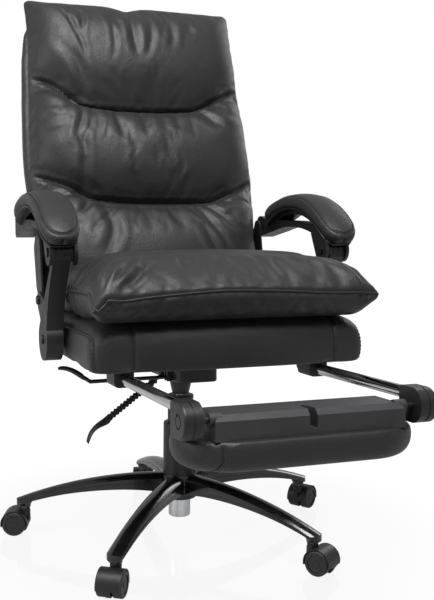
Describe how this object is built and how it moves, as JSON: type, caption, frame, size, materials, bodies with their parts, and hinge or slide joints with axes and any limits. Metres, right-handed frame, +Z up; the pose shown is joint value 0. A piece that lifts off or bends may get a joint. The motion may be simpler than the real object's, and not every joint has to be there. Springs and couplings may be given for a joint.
{
  "type": "reclining office chair",
  "caption": "Padded reclining office chair on a star base with casters, with linked armrests, gas height column and a pull-out, flip-over footrest.",
  "frame": {"origin": "point on the floor under the centre of the gas column, on the swivel axis", "axes": "+Z up; the sitter faces -Y; +X is the sitter's left"},
  "size_m": [0.7334, 1.0706, 1.1561],
  "materials": {
    "base_gloss_black": "gloss black powder coat",
    "black_plastic": "satin black moulded plastic",
    "wheel_nylon": "charcoal nylon",
    "zinc_steel": "zinc-plated steel",
    "black_leather": "soft black bonded leather",
    "black_steel": "black painted steel",
    "chrome_tube": "polished chrome",
    "dark_bolts": "black oxide steel",
    "plywood": "raw plywood"
  },
  "bodies": {
    "base": {"star_base": "base_gloss_black", "gas_cylinder": "chrome_tube", "cover_lower": "black_plastic"},
    "lift": {"gas_piston": "chrome_tube", "cover_upper": "black_plastic"},
    "seat": {"mech_housing": "black_steel", "mech_plate": "black_steel", "plate_bolts": "dark_bolts", "seat_board": "plywood", "seat_cushion_lower": "black_leather", "seat_cushion_top": "black_leather", "rail_guide_left": "black_plastic", "rail_guide_right": "black_plastic", "side_link_left": "black_steel", "side_link_right": "black_steel", "hinge_bolts": "dark_bolts"},
    "back": {"back_board": "plywood", "back_shell": "black_leather", "back_cushion": "black_leather", "back_bracket_left": "black_steel", "back_bracket_right": "black_steel"},
    "upright_l": {"upright_left": "black_plastic", "arm_pin_left": "dark_bolts"},
    "upright_r": {"upright_right": "black_plastic", "arm_pin_right": "dark_bolts"},
    "arm_l": {"arm_frame_left": "black_plastic", "arm_pad_left": "black_leather"},
    "arm_r": {"arm_frame_right": "black_plastic", "arm_pad_right": "black_leather"},
    "footrest_carriage": {"footrest_rail_left": "chrome_tube", "footrest_rail_right": "chrome_tube", "rail_stops": "black_plastic", "footrest_bracket_left": "black_plastic", "footrest_bracket_right": "black_plastic"},
    "footrest_flap": {"footrest_tray": "black_plastic", "footrest_pad": "black_leather", "footrest_pins": "dark_bolts"},
    "height_handle": {"height_lever": "black_steel", "height_grip": "black_plastic"},
    "recline_handle": {"recline_lever": "black_steel", "recline_sleeve": "black_plastic", "recline_grip": "black_plastic"},
    "caster_1": {"caster_hood_1": "black_plastic", "caster_pins_1": "zinc_steel"},
    "wheels_1": {"caster_wheels_1": "wheel_nylon"},
    "caster_2": {"caster_hood_2": "black_plastic", "caster_pins_2": "zinc_steel"},
    "wheels_2": {"caster_wheels_2": "wheel_nylon"},
    "caster_3": {"caster_hood_3": "black_plastic", "caster_pins_3": "zinc_steel"},
    "wheels_3": {"caster_wheels_3": "wheel_nylon"},
    "caster_4": {"caster_hood_4": "black_plastic", "caster_pins_4": "zinc_steel"},
    "wheels_4": {"caster_wheels_4": "wheel_nylon"},
    "caster_5": {"caster_hood_5": "black_plastic", "caster_pins_5": "zinc_steel"},
    "wheels_5": {"caster_wheels_5": "wheel_nylon"}
  },
  "joints": [
    {"name": "seat_lift", "type": "slide", "parent": "base", "child": "lift", "axis": [0, 0, 1], "range_m": [-0.05, 0.03]},
    {"name": "seat_swivel", "type": "hinge", "parent": "lift", "child": "seat", "pos_m": [0, 0, 0.33], "axis": [0, 0, 1], "continuous": true},
    {"name": "back_recline", "type": "hinge", "parent": "seat", "child": "back", "pos_m": [0, 0.17206, 0.49393], "axis": [-1, 0, 0], "range_deg": [0, 35]},
    {"name": "footrest_slide", "type": "slide", "parent": "seat", "child": "footrest_carriage", "axis": [0, -0.9988, 0.048], "range_m": [-0.285, 0]},
    {"name": "footrest_flip", "type": "hinge", "parent": "footrest_carriage", "child": "footrest_flap", "pos_m": [0, -0.60755, 0.39572], "axis": [-1, 0, 0], "range_deg": [0, 180]},
    {"name": "height_handle_lift", "type": "hinge", "parent": "seat", "child": "height_handle", "pos_m": [-0.0475, -0.05883, 0.35585], "axis": [0, 0.9988, -0.048], "range_deg": [0, 2.5], "stiffness_Nm_per_rad": 6, "springref_deg": -6.88},
    {"name": "recline_handle_lift", "type": "hinge", "parent": "seat", "child": "recline_handle", "pos_m": [-0.0475, -0.01887, 0.35393], "axis": [0, 0.9988, -0.048], "range_deg": [0, 15]},
    {"name": "upright_l_swing", "type": "hinge", "parent": "seat", "child": "upright_l", "pos_m": [0, -0.04476, 0.44028], "axis": [-1, 0, 0], "range_deg": [0, 26.2]},
    {"name": "arm_l_tilt", "type": "hinge", "parent": "upright_l", "child": "arm_l", "pos_m": [0, -0.132, 0.61466], "axis": [-1, 0, 0], "range_deg": [-14.7, 0]},
    {"name": "upright_r_swing", "type": "hinge", "parent": "seat", "child": "upright_r", "pos_m": [0, -0.04476, 0.44028], "axis": [-1, 0, 0], "range_deg": [0, 26.2]},
    {"name": "arm_r_tilt", "type": "hinge", "parent": "upright_r", "child": "arm_r", "pos_m": [0, -0.132, 0.61466], "axis": [-1, 0, 0], "range_deg": [-14.7, 0]},
    {"name": "caster_1_swivel", "type": "hinge", "parent": "base", "child": "caster_1", "pos_m": [-0.30746, 0.11987, 0.06], "axis": [0, 0, 1], "continuous": true},
    {"name": "wheels_1_spin", "type": "hinge", "parent": "caster_1", "child": "wheels_1", "pos_m": [-0.32625, 0.12671, 0.025], "axis": [-0.342, -0.9397, 0], "continuous": true},
    {"name": "caster_2_swivel", "type": "hinge", "parent": "base", "child": "caster_2", "pos_m": [-0.20902, -0.25537, 0.06], "axis": [0, 0, 1], "continuous": true},
    {"name": "wheels_2_spin", "type": "hinge", "parent": "caster_2", "child": "wheels_2", "pos_m": [-0.2202, -0.27195, 0.025], "axis": [0.829, -0.5592, 0], "continuous": true},
    {"name": "caster_3_swivel", "type": "hinge", "parent": "base", "child": "caster_3", "pos_m": [0.17828, -0.2777, 0.06], "axis": [0, 0, 1], "continuous": true},
    {"name": "wheels_3_spin", "type": "hinge", "parent": "caster_3", "child": "wheels_3", "pos_m": [0.18975, -0.29408, 0.025], "axis": [0.8192, 0.5736, 0], "continuous": true},
    {"name": "caster_4_swivel", "type": "hinge", "parent": "base", "child": "caster_4", "pos_m": [0.3192, 0.08374, 0.06], "axis": [0, 0, 1], "continuous": true},
    {"name": "wheels_4_spin", "type": "hinge", "parent": "caster_4", "child": "wheels_4", "pos_m": [0.33558, 0.09521, 0.025], "axis": [-0.5736, 0.8192, 0], "continuous": true},
    {"name": "caster_5_swivel", "type": "hinge", "parent": "base", "child": "caster_5", "pos_m": [0.019, 0.32945, 0.06], "axis": [0, 0, 1], "continuous": true},
    {"name": "wheels_5_spin", "type": "hinge", "parent": "caster_5", "child": "wheels_5", "pos_m": [0.02417, 0.34877, 0.025], "axis": [-0.9659, 0.2588, 0], "continuous": true}
  ],
  "couplings": [
    {"joint": "upright_l_swing", "follows": "back_recline", "ratio": 0.7422},
    {"joint": "arm_l_tilt", "follows": "back_recline", "ratio": -0.4152},
    {"joint": "upright_r_swing", "follows": "back_recline", "ratio": 0.7422},
    {"joint": "arm_r_tilt", "follows": "back_recline", "ratio": -0.4152}
  ]
}
